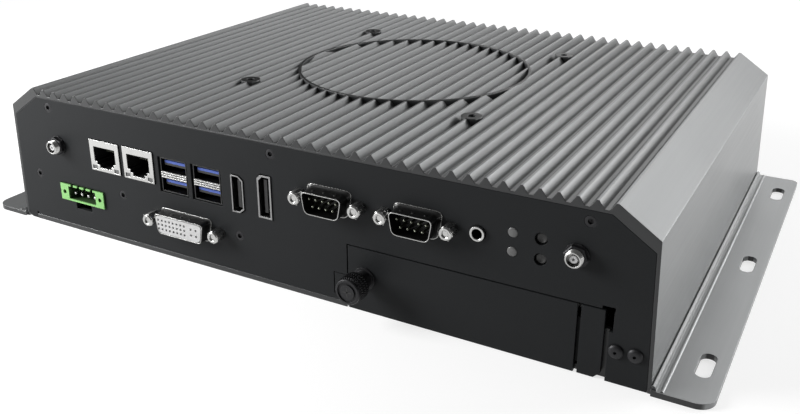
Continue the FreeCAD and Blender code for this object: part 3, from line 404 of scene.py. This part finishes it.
# %% Places of a group's solids
def islands(name):
    work = bmesh.new()
    work.from_mesh(nodes[name].data)
    bmesh.ops.remove_doubles(work, verts=work.verts, dist=1e-6)
    left, boxes = set(work.verts), []
    while left:
        edge, group = [left.pop()], []
        while edge:
            vert = edge.pop()
            group.append(vert.co.copy())
            for link in vert.link_edges:
                other = link.other_vert(vert)
                if other in left:
                    left.remove(other)
                    edge.append(other)
        lo = Vector([min(p[k] for p in group) for k in range(3)])
        hi = Vector([max(p[k] for p in group) for k in range(3)])
        boxes.append((lo, hi))
    work.free()
    return sorted(boxes, key=lambda box: (round(box[0].x, 5), box[0].z))


panel_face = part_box("front_panel")[0][1]
print("panel face at", round(panel_face, 4), "jack screws", len(islands("jack_screws")))

# %% [markdown]
# Geometry Nodes put one well-made screw on every place of its group. The tree takes the places as the
# corners of a mesh, the screw as an object, a seed and the most that a screw may be turned, since no
# two screws stop at the same angle. It realises the copies and sets their finish, and the result is
# then read back as a plain mesh.

# %% A tree that sets copies on places
def copies_tree():
    tree = bpy.data.node_groups.new("set_copies", "GeometryNodeTree")
    face = tree.interface
    face.new_socket("Places", in_out="INPUT", socket_type="NodeSocketGeometry")
    for label, kind in (("Copy", "NodeSocketObject"), ("Turn", "NodeSocketFloat"),
                        ("Size", "NodeSocketFloat"), ("Seed", "NodeSocketInt"),
                        ("Finish", "NodeSocketMaterial")):
        face.new_socket(label, in_out="INPUT", socket_type=kind)
    face.new_socket("Geometry", in_out="OUTPUT", socket_type="NodeSocketGeometry")

    def node(kind, settings=None, links=None):
        made = tree.nodes.new(kind)
        for key, value in (settings or {}).items():
            setattr(made, key, value)
        for key, value in (links or {}).items():
            if hasattr(value, "is_output"):
                tree.links.new(value, made.inputs[key])
            else:
                made.inputs[key].default_value = value
        return made.outputs

    given = node("NodeGroupInput")
    turn = node("FunctionNodeRandomValue", {"data_type": "FLOAT"}, {3: given["Turn"], "Seed": given["Seed"]})
    spin = node("ShaderNodeCombineXYZ", {}, {"Y": turn[1]})
    copy = node("GeometryNodeObjectInfo", {}, {"Object": given["Copy"], "As Instance": True})
    placed = node("GeometryNodeInstanceOnPoints", {},
                  {"Points": given["Places"], "Instance": copy["Geometry"], "Rotation": spin["Vector"],
                   "Scale": given["Size"]})
    real = node("GeometryNodeRealizeInstances", {}, {"Geometry": placed["Instances"]})
    done = node("GeometryNodeSetMaterial", {}, {"Geometry": real["Geometry"], "Material": given["Finish"]})
    node("NodeGroupOutput", {}, {"Geometry": done["Geometry"]})
    return tree


COPIES = copies_tree()
LOCK = {item.name: item.identifier for item in COPIES.interface.items_tree if item.in_out == "INPUT"}


def set_copies(name, places, one, slot, turn=0.0, body="housing", replaces=(), size=1.0, finish=None):
    """One mesh with a copy of `one`, a Shape drawn round the origin, on each place."""
    model = bpy.data.objects.new(name + "_one", one.mesh(name + "_one"))
    scene.collection.objects.link(model)
    base = bpy.data.meshes.new(name + "_places")
    base.from_pydata([tuple(p) for p in places], [], [])
    holder = bpy.data.objects.new(name + "_places", base)
    scene.collection.objects.link(holder)
    modifier = holder.modifiers.new("copies", "NODES")
    modifier.node_group = COPIES
    for label, value in (("Copy", model), ("Turn", turn), ("Size", size), ("Seed", 7),
                         ("Finish", finish or FINISH[slot])):
        modifier[LOCK[label]] = value
    ready = holder.evaluated_get(bpy.context.evaluated_depsgraph_get())
    mesh = bpy.data.meshes.new_from_object(ready)
    mesh.name = name
    holder.modifiers.clear()
    for spare in (holder, model):
        bpy.data.objects.remove(spare)
    return settle(bpy.data.objects.new(name, mesh), slot, body, replaces)


# %% [markdown]
# A jack screw holds a plug's own screw: a hexagon with a chamfered round face and a threaded hole. The
# chamfer is what makes its end look like a bright ring. The hole is a stepped bore, so that its thread
# catches the light in rings.

# %% Jack screws
def hexagon(across, y, turn=0.0):
    r = across / math.sqrt(3.0)
    angles = [turn + math.pi / 3 * k for k in range(6)]
    return [(r * math.cos(a), y, r * math.sin(a)) for a in angles]


def threaded_bore(y0, y1, r, pitch):
    """Profile of a threaded hole from its mouth at y0 to its floor at y1."""
    out, y, k = [], y0, 0
    while y < y1:
        out.append((y, r if k % 2 else r * 0.86))
        y, k = y + pitch / 2, k + 1
    return out


def jack_screw(length):
    one, af = Shape(), mm(4.76)
    one.sleeve([hexagon(af, 0), hexagon(af, mm(0.6) - length)], closed=False)
    face = [(mm(0.7) - length, mm(2.62)), (mm(0.25) - length, mm(2.35)),
            (-length, mm(2.1)), (-length, mm(1.45))]
    bore = threaded_bore(mm(0.2) - length, mm(-1.0), mm(1.4), mm(0.6))
    foot = [(mm(-0.9), mm(0.5)), (mm(-0.4), mm(0.5)), (mm(-0.4), mm(2.5))]
    return one.lathe(0, 0, face + bore + foot, 24, True)


spots = islands("jack_screws")
places = [((lo.x + hi.x) / 2, panel_face, (lo.z + hi.z) / 2) for lo, hi in spots]
set_copies("jack_screws_turned", places, jack_screw(panel_face - spots[0][0].y), "plated_steel", 1.0,
           replaces=["jack_screws"])

# Painted shade: a black plug fills each threaded bore from 0.9 mm inside its mouth, so the hole reads dark.
mouth = mm(0.9) + spots[0][0].y - panel_face
plug = Shape().lathe(0, 0, [(mouth, mm(0.01)), (mouth, mm(1.38)), (mm(-0.6), mm(1.38)), (mm(-0.6), mm(0.01))],
                     16, True)
set_copies("jack_screw_bores", places, plug, "black_screw", 0.0)

# %% [markdown]
# The panels are held by small countersunk screws with a hexagon socket. Their black heads lie flush
# with the black panel, so the eye finds only the socket. A boolean could sink the socket, but one
# turned profile that dips in at its middle gives cleaner faces.

# %% Panel and rear screws
def flush_screw(side):
    """A flat head at the origin whose face looks along side * Y."""
    one = Shape()
    rim = [(0.0, mm(1.95)), (side * mm(0.02), mm(1.9)), (side * mm(0.02), mm(0.95))]
    socket = [(side * mm(-0.8), mm(0.85)), (side * mm(-1.0), mm(0.1)), (side * mm(-1.6), mm(0.1))]
    shank = [(side * mm(-3.0), mm(1.1)), (side * mm(-1.2), mm(1.15))]
    return one.lathe(0, 0, rim + socket + shank, 24, True)


for name, side in (("panel_screws", -1), ("rear_screws", 1)):
    spots = islands(name)
    places = [((lo.x + hi.x) / 2, lo.y if side < 0 else hi.y, (lo.z + hi.z) / 2) for lo, hi in spots]
    set_copies(name + "_flush", places, flush_screw(side), "black_screw", 1.0, replaces=[name])

# %% [markdown]
# Two pan-head screws hold the foot of the panel. A pan head is domed, with a small recess in its
# middle. A squashed sphere would be quicker, but a real head has a flat land and a rounded rim.

# %% Foot screws
def pan_screw(height):
    one = Shape()
    dome = [(0.0, 2.45), (-0.45, 2.5), (-0.8, 2.3), (-1.1, 1.8), (-1.28, 1.15), (-1.3, 0.55)]
    profile = [(mm(y) * height / mm(1.3), mm(r)) for y, r in dome]
    foot = [(mm(-0.5), mm(0.5)), (mm(-0.3), mm(0.1)), (mm(-0.1), mm(1.0))]
    return one.lathe(0, 0, profile + foot, 24, True)


spots = islands("foot_screws")
places = [((lo.x + hi.x) / 2, panel_face, (lo.z + hi.z) / 2) for lo, hi in spots]
set_copies("foot_screws_domed", places, pan_screw(panel_face - spots[0][0].y), "black_screw", 1.0,
           replaces=["foot_screws"])

# %% [markdown]
# The pins of a serial plug are thin turned rods with round noses. There are nine in each plug, so one
# pin is turned with few sides and the tree repeats it.

# %% Serial pins
def pin(length, r):
    nose = [(-length, 0.0), (-length + r * 0.1, r * 0.45), (-length + r * 0.5, r * 0.85), (-length + r, r)]
    return Shape().lathe(0, 0, nose + [(0.0, r), (0.0, 0.0)], 10, True)


for port in ("1", "2"):
    spots = islands("com_pins_" + port)
    places = [((lo.x + hi.x) / 2, hi.y, (lo.z + hi.z) / 2) for lo, hi in spots]
    length = spots[0][1].y - spots[0][0].y
    set_copies("serial_pins_" + port, places, pin(length, mm(0.5)), "gold", replaces=["com_pins_" + port])

# %% [markdown]
# A D connector is a drawn steel shell: a skirt with rounded corners that flares at its root into a soft
# bead, and three small dimples pressed into its top and bottom to grip the plug. Its outline is drawn
# once, and the sleeve passes through it at several sizes, out to the rim and back inside.

# %% Drawn D shells
def d_outline(x, z, w, h, grow=0.0, r=2.2, steps=6):
    """Wide side up. Each corner is a curve of a few steps between its two straight sides."""
    w, h = mm(w + 2 * grow), mm(h + 2 * grow)
    lean = h * math.tan(math.radians(10.0))
    raw = [(-w / 2 + lean, -h / 2), (-w / 2, h / 2), (w / 2, h / 2), (w / 2 - lean, -h / 2)]
    r, out = mm(r + grow * 0.6), []
    for i, p in enumerate(raw):
        legs = []
        for q in (raw[i - 1], raw[(i + 1) % 4]):
            length = math.dist(p, q)
            legs.append(((q[0] - p[0]) * r / length, (q[1] - p[1]) * r / length))
        for k in range(steps + 1):
            a, b = (1 - k / steps) ** 2, (k / steps) ** 2
            out.append((x + p[0] + legs[0][0] * a + legs[1][0] * b,
                        z + p[1] + legs[0][1] * a + legs[1][1] * b))
    return out


def d_shell(name, node, w, h, r, out, flare, slot):
    x, z, front, back = middle(node)
    lo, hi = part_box(node)

    def ring(y, grow):
        return [(px, y, pz) for px, pz in d_outline(x, z, w, h, grow, r)]

    steps = [(0.9, flare + 0.35), (0.2, flare + 0.35), (-0.25, flare + 0.2), (-0.55, flare - 0.15),
             (-1.0, flare * 0.45), (-1.8, 0.05), (-out + 0.25, 0.0), (-out + 0.05, -0.08), (-out, -0.2),
             (-out + 0.05, -0.34), (-out + 0.3, -0.42), (0.9, -0.45)]
    shell = Shape().sleeve([ring(panel_face + mm(y), grow) for y, grow in steps])
    plate_front = back - mm(0.9)
    shell.block((lo[0], plate_front, lo[2]), (hi[0], back, hi[2]))
    for side in (-1, 1):
        for k in (-1, 0, 1):
            top = z + side * (mm(h) / 2)
            at = Vector((x + mm(4.6) * k, panel_face - mm(out * 0.55), top))
            dimple = ((-0.1, 0.75), (0.12, 0.6), (0.24, 0.3), (0.28, 0.0))
            bump = [(at.z + side * mm(dz), mm(dr)) for dz, dr in dimple]
            rings = [[(at.x + rr * math.cos(a), at.y + rr * math.sin(a), zz)
                      for a in [math.pi / 6 * s for s in range(12)]] for zz, rr in bump]
            shell.sleeve(rings, closed=False)
    rims = Shape()
    rims.sleeve([ring(panel_face + mm(y), grow) for y, grow in
                 ((-out - 0.02, -0.05), (-out - 0.02, -0.3), (-out + 0.3, -0.3), (-out + 0.3, 0.02))])
    rims.sleeve([ring(panel_face + mm(y), grow) for y, grow in
                 ((-0.1, flare + 0.4), (-0.3, flare + 0.28), (-0.3, flare + 0.1), (-0.05, flare + 0.2))])
    rims.piece(name + "_rim", "plated_steel")
    return shell.piece(name, slot, replaces=[node])


d_shell("serial_shell_1", "com_shell_1", 16.9, 8.4, 2.2, 6.0, 0.9, slot_of["com_shell_1"])
d_shell("serial_shell_2", "com_shell_2", 16.9, 8.4, 2.2, 6.0, 0.9, slot_of["com_shell_2"])
d_shell("dvi_shell_drawn", "dvi_shell", 24.6, 8.4, 1.6, 5.0, 0.5, slot_of["dvi_shell"])

# %% [markdown]
# An antenna jack is a threaded barrel with a coaxial socket in its end: a bright rim, a dark gap and a
# white insulator round the centre pin. Its hexagon nut is chamfered on the side that shows.

# %% Antenna jacks
def antenna_jack(port):
    name = "antenna_jack_" + port
    x, z, front, back = middle(name)
    r, out = mm(3.0), []
    y, k = front + mm(0.5), 0
    while y < panel_face - mm(0.3):
        out.append((y, r if k % 2 else r * 0.9))
        y, k = y + mm(0.35), k + 1
    rim = [(front, r * 0.74), (front, r * 0.84), (front + mm(0.25), r * 0.95)]
    shank = [(panel_face, mm(2.7)), (back - mm(6.0), mm(2.7)), (back - mm(6.0), mm(2.2)), (back, mm(2.2)),
             (back, mm(0.4))]
    bore = [(front + mm(3.0), mm(0.4)), (front + mm(3.0), r * 0.72)]
    body = Shape().lathe(x, z, rim + out + shank + bore, 32, True)
    body.piece("antenna_barrel_" + port, "plated_steel", replaces=[name])
    core = [(front + mm(3.2), mm(1.35)), (front + mm(0.75), mm(1.35)), (front + mm(0.6), mm(1.2)),
            (front + mm(0.6), mm(0.5)), (front + mm(1.4), mm(0.4)), (front + mm(3.2), mm(0.4))]
    Shape().lathe(x, z, core, 20, True).piece("antenna_core_" + port, "pale_plastic")


antenna_jack("1")
antenna_jack("2")

# %% [markdown]
# A thin hexagon nut holds each jack. Both are one group in the CAD, so the same tree sets them, and
# each stops at its own angle.

# %% Antenna nuts
def thin_nut(across, thick, hole):
    one = Shape()
    r = across / math.sqrt(3.0)
    rings = [hexagon(across, 0.0, 0.2), hexagon(across, mm(0.3) - thick, 0.2),
             [(p[0] * 0.9, -thick, p[2] * 0.9) for p in hexagon(across, 0.0, 0.2)],
             [(hole * p[0] / r, -thick, hole * p[2] / r) for p in hexagon(across, 0.0, 0.2)],
             [(hole * p[0] / r, 0.0, hole * p[2] / r) for p in hexagon(across, 0.0, 0.2)]]
    return one.sleeve(rings)


spots = islands("antenna_nuts")
places = [((lo.x + hi.x) / 2, hi.y, (lo.z + hi.z) / 2) for lo, hi in spots]
nut = thin_nut(mm(7.0), spots[0][1].y - spots[0][0].y, mm(2.9))
# Painted shade: the nuts take the black screw finish, darker than their plated metal, for the shade they sit
# in.
set_copies("antenna_nuts_cut", places, nut, "black_screw", 0.8, replaces=["antenna_nuts"])

# %% [markdown]
# The thumb screw is turned from bar: a knurled rim between two plain collars, a ring groove in its
# face, a cross slot for a driver, and a washer against the door. The knurl is one toothed outline whose
# points shift by half a tooth from ring to ring, which gives the crossed pattern.

# %% Thumb screw
def toothed(x, z, y, outer, inner, teeth, turn):
    step = math.pi / teeth
    return [(x + (outer if k % 2 else inner) * math.cos(k * step + turn), y,
             z + (outer if k % 2 else inner) * math.sin(k * step + turn)) for k in range(2 * teeth)]


x, z, front, back = middle("thumb_screw")
z = (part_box("thumb_screw")[0][2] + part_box("thumb_screw")[1][2]) / 2
screw = Shape()
teeth, bands = 36, 7
rings = []
for k in range(bands + 1):
    y = front + mm(0.9) + mm(5.8) * k / bands
    slim = 0.93 if k in (0, bands) else 1.0
    rings.append(toothed(x, z, y, mm(5.3) * slim, mm(4.95) * slim, teeth, math.pi / teeth * (k % 2)))
screw.sleeve(rings, closed=False)
face = [(0.55, 2.75), (0.06, 2.85), (0.06, 0.01)]
collar = [(1.0, 4.9), (0.35, 4.85), (0.05, 4.6), (0.0, 4.3), (0.0, 3.95), (0.5, 3.85)]
screw.lathe(x, z, [(front + mm(y), mm(r)) for y, r in collar + face + [(1.2, 0.01)]], 40, True)
neck = [(6.6, 4.8), (7.4, 4.6), (7.5, 3.4)]
screw.lathe(x, z, [(front + mm(y), mm(r)) for y, r in neck] + [(panel_face - mm(0.55), mm(3.4)),
            (panel_face - mm(0.55), mm(4.4)), (panel_face, mm(4.4)), (panel_face, mm(1.9)), (back, mm(1.9)),
            (back, mm(0.01)), (front + mm(6.6), mm(0.01))], 32, True)
screw.piece("thumb_screw_knurled", "black_screw", replaces=["thumb_screw"])
# Painted shade: the cross slot is not cut; a near-black cross on the face stands for the shade in it.
slot = Shape()
for w, h in ((1.9, 0.28), (0.28, 1.9)):
    slot.block((x - mm(w), front + mm(0.02), z - mm(h)), (x + mm(w), front + mm(0.3), z + mm(h)))
slot.piece("thumb_screw_cross", "black_plastic")

# %% [markdown]
# The lights are the domed ends of light pipes, and the buttons are small round caps that stand back in
# their holes. A cap rides on its own body, so it moves when the button is pressed.

# %% Lights and buttons
domes = Shape()
for lo, hi in islands("led_lenses"):
    cx, cz = (lo.x + hi.x) / 2, (lo.z + hi.z) / 2
    curve = [(panel_face - mm(0.35) * math.cos(a), mm(1.7) * math.sin(a)) for a in
             [math.pi / 2 * k / 6 for k in range(1, 7)]]
    domes.lathe(cx, cz, [(panel_face - mm(0.36), mm(0.01))] + curve + [(hi.y - mm(1.6), mm(1.7)),
                (hi.y - mm(1.6), mm(2.4)), (hi.y, mm(2.4)), (hi.y, mm(0.01))], 24, True)
domes.piece("led_domes", "lens", replaces=["led_lenses"])

for name in ("power_button", "reset_button"):
    bx, bz, by0, by1 = middle(name)
    cap = [(by0 + mm(0.35), mm(0.01)), (by0 + mm(0.2), mm(1.0)), (by0, mm(1.45)), (by0 + mm(0.08), mm(1.75)),
           (by0 + mm(0.4), mm(1.9)), (by1 - mm(1.2), mm(1.9)), (by1 - mm(1.2), mm(2.7)), (by1, mm(2.7)),
           (by1, mm(0.01))]
    Shape().lathe(bx, bz, cap, 24, True).piece(name + "_cap", slot_of[name], name + "_body", [name])

# %% [markdown]
# The audio jack's sleeve ends in a bright turned ring. A torus would be round all over, while a turned
# profile has the flat inner wall of the real one.

# %% Audio ring
x, z, front, back = middle("audio_jack")
z = (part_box("audio_jack")[1][2]) - mm(4.0)
ring = [(0.0, 1.85), (-0.12, 2.0), (-0.15, 2.3), (-0.05, 2.6), (0.3, 2.72), (0.9, 2.72), (0.9, 1.83)]
Shape().lathe(x, z, [(front + mm(y), mm(r)) for y, r in ring], 32, True).piece("audio_ring", "plated_steel")

# %% [markdown]
# Inside each network socket lie eight sprung contacts, and two small windows at its foot show the link
# lights. Each stacked blue socket has contact strips on the under side of its tongues and ribs pressed
# into the wall between them. A black block across the lower half of each tongue is painted shade. These
# are folded or moulded strips with square ends, so plain blocks gathered in one mesh are enough.

# %% Contacts, windows and ribs
for port in ("1", "2"):
    x, z, front, back = middle("lan_shell_" + port)
    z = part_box("lan_shell_" + port)[1][2] - mm(6.7)
    wires = Shape()
    for k in range(8):
        cx = x + mm(1.02) * (k - 3.5)
        wires.block((cx - mm(0.2), front + mm(5.0), z + mm(0.4)),
                    (cx + mm(0.2), front + mm(11.0), z + mm(0.9)))
    wires.piece("lan_contacts_" + port, "gold")
    windows = Shape()
    for side in (-1, 1):
        cx = x + side * mm(6.0)
        windows.block((cx - mm(1.2), front + mm(0.25), z - mm(6.1)),
                      (cx + mm(1.2), front + mm(0.85), z - mm(4.5)))
    windows.piece("lan_windows_" + port, "lens")
    x, z, front, back = middle("usb_shell_" + port)
    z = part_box("usb_shell_" + port)[1][2] - mm(7.2)
    ribs, strips = Shape(), Shape()
    for dz in (-0.95, 0.0, 0.95):
        ribs.block((x - mm(6.4), front - mm(0.25), z + mm(dz - 0.22)),
                   (x + mm(6.4), front + mm(0.1), z + mm(dz + 0.22)))
    ribs.piece("stacked_ribs_" + port, "plated_steel")
    for dz in (4.1, -4.1):
        for k in range(4):
            cx = x + mm(2.3) * (k - 1.5)
            strips.block((cx - mm(0.5), front + mm(1.6), z + mm(dz - 0.32)),
                         (cx + mm(0.5), front + mm(9.0), z + mm(dz - 0.15)))
    strips.piece("stacked_strips_" + port, "gold")
    lo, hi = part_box("usb_insert_" + port)
    half = (hi[0] - lo[0]) / 2 - mm(0.72)
    # Painted shade: a black block over the lower half of each blue tongue.
    tongue_shade = Shape()
    for dz in (4.1, -4.1):
        tongue_shade.block((x - half, lo[1] - mm(0.05), z + mm(dz - 0.25)),
                       (x + half, lo[1] + mm(2.0), z + mm(dz + 0.65)))
    tongue_shade.piece("stacked_carriers_" + port, "black_plastic")

# %% [markdown]
# The world and the floor are white to the camera and to mirrors, while the lamps light the object at a
# plain level. The floor keeps a share of its own lit colour near the object, and so it keeps the
# shadow. Further off it fades into the plain white of the world.

# %% Floor and world
def seen(finish):
    """1 where the camera, a mirror or glass looks, and 0 for light that bounces on."""
    rays = [finish.node("ShaderNodeLightPath", out=k) for k in (0, 3, 6)]
    return rays[0].math("MAXIMUM", rays[0].math("MAXIMUM", rays[0], rays[1]), rays[2])


def white_world(level):
    world = bpy.data.worlds.new("studio")
    scene.world = world
    world.use_nodes = True
    f = Finish.__new__(Finish)
    f.tree = world.node_tree
    lamp = f.tree.nodes["Background"]
    lamp.inputs["Color"].default_value = (1, 1, 1, 1)
    lamp.inputs["Strength"].default_value = level
    camera_ray = f.node("ShaderNodeLightPath", out=0)
    white = f.node("ShaderNodeBackground", {}, {"Color": (1, 1, 1), "Strength": 1.0})
    mix = f.node("ShaderNodeMixShader", {}, {0: camera_ray, 1: Wire(f, lamp.outputs[0]), 2: white})
    f.tree.links.new(mix.socket, f.tree.nodes["World Output"].inputs[0])


def pale_floor(size, share):
    mesh = bpy.data.meshes.new("floor")
    corners = [(-size, -size, 0), (size, -size, 0), (size, size, 0), (-size, size, 0)]
    mesh.from_pydata(corners, [], [(0, 1, 2, 3)])
    floor = bpy.data.objects.new("floor", mesh)
    scene.collection.objects.link(floor)
    f = Finish("floor")
    f.set(Base_Color=(0.8, 0.8, 0.8), Roughness=0.9)
    lit = f.node("ShaderNodeBsdfDiffuse", {}, {"Color": (share, share, share)})
    white = f.node("ShaderNodeEmission", {}, {"Color": (1, 1, 1), "Strength": 0.7})
    shown = f.node("ShaderNodeAddShader", {}, {0: white, 1: lit})
    away = f.node("ShaderNodeVectorMath", {"operation": "LENGTH"}, {0: f.place()}, out=1)
    plain = f.node("ShaderNodeEmission", {}, {"Color": (1, 1, 1), "Strength": 1.0})
    shown = f.node("ShaderNodeMixShader", {}, {0: f.clamped((away - 0.35) / 0.5), 1: shown, 2: plain})
    mix = f.node("ShaderNodeMixShader", {}, {0: seen(f), 1: Wire(f, f.shader.outputs[0]), 2: shown})
    f.tree.links.new(mix.socket, f.tree.nodes["Material Output"].inputs[0])
    mesh.materials.append(f.material)


white_world(0.13)
pale_floor(4.0, 0.4)

# %% [markdown]
# Five soft boxes light the case. Two stand behind it to the right, a low one and a high one, and draw
# the fins and the shoulder. One behind lights the top and the flange, a low one at the right lights the
# side wall, and a near one at the left front makes the panel fade from left to right. One big lamp
# would be simpler, but it leaves every face equally bright.

# %% Lamps
def soft_box(name, at, size, watts, target=(0, 0, 0.03)):
    light = bpy.data.lights.new(name, "AREA")
    light.shape = "RECTANGLE"
    light.size, light.size_y = size
    light.energy = watts
    lamp = bpy.data.objects.new(name, light)
    lamp.location = at
    lamp.rotation_euler = (Vector(target) - Vector(at)).to_track_quat("-Z", "Y").to_euler()
    scene.collection.objects.link(lamp)


soft_box("right_rear_box", (0.9, 0.9, 0.25), (0.7, 0.4), 7)
soft_box("back_right_box", (0.75, 1.0, 0.75), (1.0, 0.8), 5)
soft_box("back_box", (0.0, 1.2, 0.8), (1.0, 0.8), 6)
soft_box("right_low_box", (1.2, 0.2, 0.12), (0.7, 0.25), 6)
soft_box("left_near_box", (-0.48, -0.34, 0.25), (0.3, 0.3), 6)

scene.view_settings.view_transform = "Standard"
